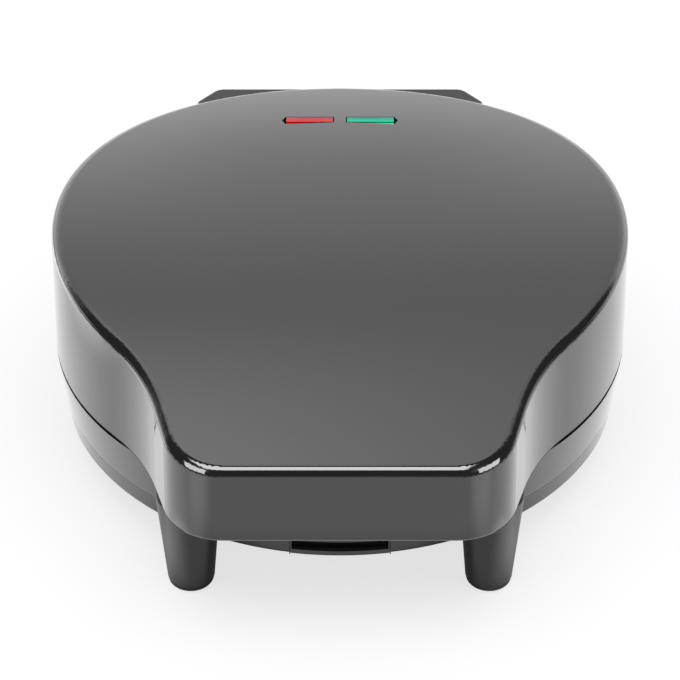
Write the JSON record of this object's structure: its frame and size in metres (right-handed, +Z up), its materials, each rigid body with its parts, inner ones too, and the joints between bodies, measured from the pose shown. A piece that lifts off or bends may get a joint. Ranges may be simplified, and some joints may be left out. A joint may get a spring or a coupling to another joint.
{
  "type": "omelette maker",
  "caption": "Countertop omelette maker with a hinged arched lid, twin half-moon cooking plates, front legs, rocking latch and indicator windows.",
  "frame": {"origin": "on the table, under the middle of the closed appliance", "axes": "+Z up, -Y to the front where the handle is, +X to the right seen from the front"},
  "size_m": [0.22, 0.2509, 0.0937],
  "materials": {
    "gloss_black": "high gloss black phenolic-like moulding",
    "satin_black": "satin black moulding",
    "rubber_black": "soft dark rubber",
    "nonstick": "die-cast aluminium with dark non-stick coating",
    "sheath_steel": "sheathed tube, dull steel",
    "sheet_steel": "bright aluminised sheet",
    "screw_steel": "zinc plated",
    "thermostat_body": "dark phenolic with plated cap",
    "ceramic": "white steatite",
    "fuse_body": "plated cartridge",
    "sleeve": "dark glass-fibre sleeving",
    "wire": "pale heat-proof insulation",
    "red_lens": "clear tinted moulding",
    "green_lens": "clear tinted moulding",
    "lamp_glass": "thin clear glass"
  },
  "bodies": {
    "base": {"lower_housing": "gloss_black", "bottom_cover": "gloss_black", "cover_screws": "screw_steel", "front_leg_left": "satin_black", "front_leg_right": "satin_black", "leg_screws": "screw_steel", "front_foot_pad_left": "rubber_black", "front_foot_pad_right": "rubber_black", "rear_foot_pad_left": "rubber_black", "rear_foot_pad_right": "rubber_black", "lower_plate": "nonstick", "lower_heating_element": "sheath_steel", "lower_element_clips": "sheet_steel", "lower_reflector": "sheet_steel", "lower_plate_screws": "screw_steel", "thermostat": "thermostat_body", "thermal_fuse": "fuse_body", "fuse_clip": "sheet_steel", "sensor_screws": "screw_steel", "terminal_block": "ceramic", "cord_gland": "satin_black", "cord_clamp": "satin_black", "clamp_screws": "screw_steel", "base_leads": "wire", "hinge_lead_base": "sleeve", "hinge_pin_left": "screw_steel", "hinge_pin_right": "screw_steel", "latch_pin": "screw_steel"},
    "lid": {"upper_housing": "gloss_black", "lid_inner_frame": "satin_black", "frame_screws": "screw_steel", "hinge_block": "satin_black", "hinge_block_screws": "screw_steel", "upper_plate": "nonstick", "upper_heating_element": "sheath_steel", "upper_element_clips": "sheet_steel", "upper_reflector": "sheet_steel", "upper_plate_screws": "screw_steel", "red_lens": "red_lens", "green_lens": "green_lens", "red_lamp": "lamp_glass", "green_lamp": "lamp_glass", "lamp_holder": "satin_black", "lamp_screws": "screw_steel", "lid_leads": "wire", "hinge_lead_lid": "sleeve"},
    "latch": {"latch_lever": "gloss_black"}
  },
  "joints": [
    {"name": "lid_hinge", "type": "hinge", "parent": "base", "child": "lid", "pos_m": [0, 0.1195, 0.0486], "axis": [-1, 0, 0], "range_deg": [0, 100]},
    {"name": "latch_pivot", "type": "hinge", "parent": "base", "child": "latch", "pos_m": [0, -0.097, 0.03], "axis": [1, 0, 0], "range_deg": [0, 12]}
  ]
}
